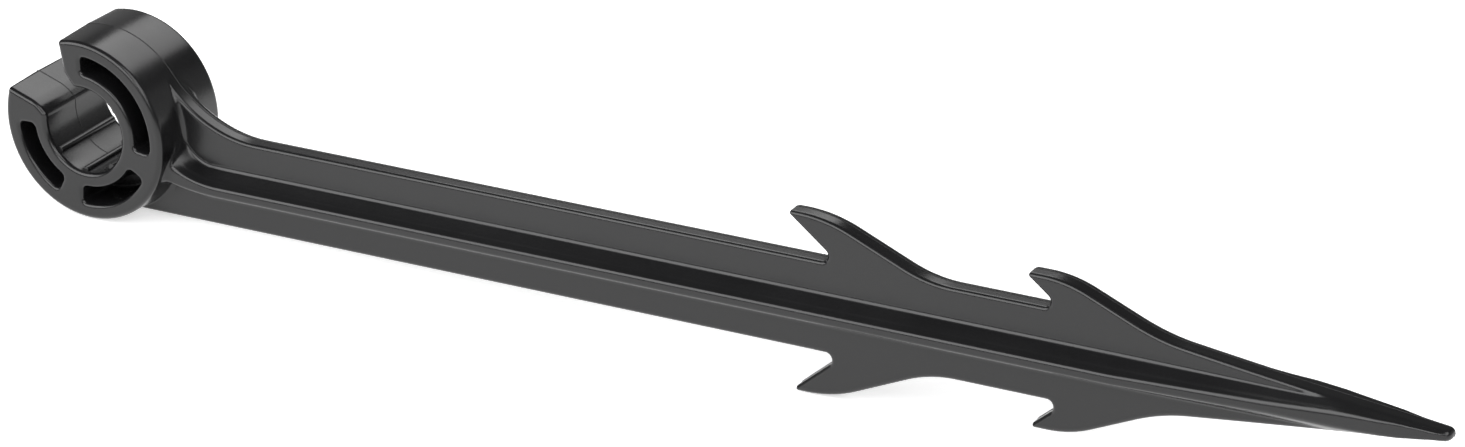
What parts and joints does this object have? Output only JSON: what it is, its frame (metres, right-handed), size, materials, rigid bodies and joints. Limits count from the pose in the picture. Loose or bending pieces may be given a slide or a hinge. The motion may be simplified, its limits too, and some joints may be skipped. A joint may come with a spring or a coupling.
{
  "type": "drip tube stake",
  "caption": "Black moulded garden stake: an open clip for 16 mm drip tube on a flat, ribbed spike with two pairs of barbs",
  "frame": {"origin": "centre of the clip's bore, at half the clip's depth", "axes": "+X along the spike to its point, +Y along the bore away from the viewer of the picture, +Z across the blade, up as pictured"},
  "size_m": [0.276, 0.018, 0.0406],
  "materials": {
    "black_plastic": "black polypropylene as moulded, semi-gloss with a faint mould grain"
  },
  "bodies": {
    "root": {"clip_ring": "black_plastic", "blade": "black_plastic", "point": "black_plastic", "barb_upper_1": "black_plastic", "barb_lower_1": "black_plastic", "barb_upper_2": "black_plastic", "barb_lower_2": "black_plastic", "front_rib": "black_plastic", "back_rib": "black_plastic"}
  },
  "joints": []
}
